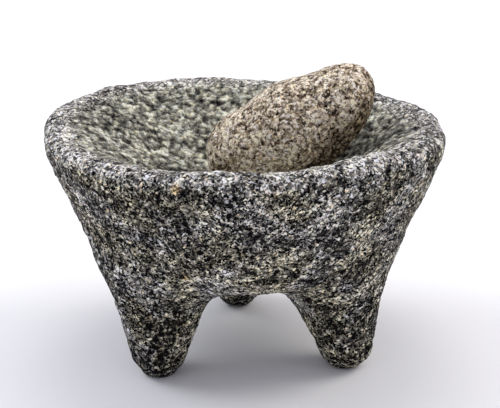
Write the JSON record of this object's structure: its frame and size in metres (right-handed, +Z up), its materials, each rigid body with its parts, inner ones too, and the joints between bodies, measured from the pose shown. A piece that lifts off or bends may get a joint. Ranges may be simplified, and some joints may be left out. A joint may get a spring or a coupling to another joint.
{
  "type": "molcajete",
  "caption": "Tripod stone mortar with a flared bowl, a broad rounded lip and tapered legs, with its loaf-shaped pestle resting in the bowl.",
  "frame": {"origin": "on the ground under the middle of the mortar's outline, level with the flats worn under its three feet", "axes": "+Z up out of the bowl, +X to the right, -Y towards the front, the open side between the two front legs"},
  "size_m": [0.201, 0.1957, 0.1505],
  "materials": {
    "grey_basalt": "rough hand-pecked vesicular basalt, dark groundmass with pale grains",
    "brown_basalt": "finer, browner basalt worn smoother by grinding"
  },
  "bodies": {
    "mortar": {"mortar": "grey_basalt"},
    "tejolote": {"tejolote": "brown_basalt"}
  },
  "joints": [
    {"name": "tejolote_lift", "type": "slide", "parent": "mortar", "child": "tejolote", "axis": [0, 0, 1], "range_m": [0, 0.09]}
  ]
}
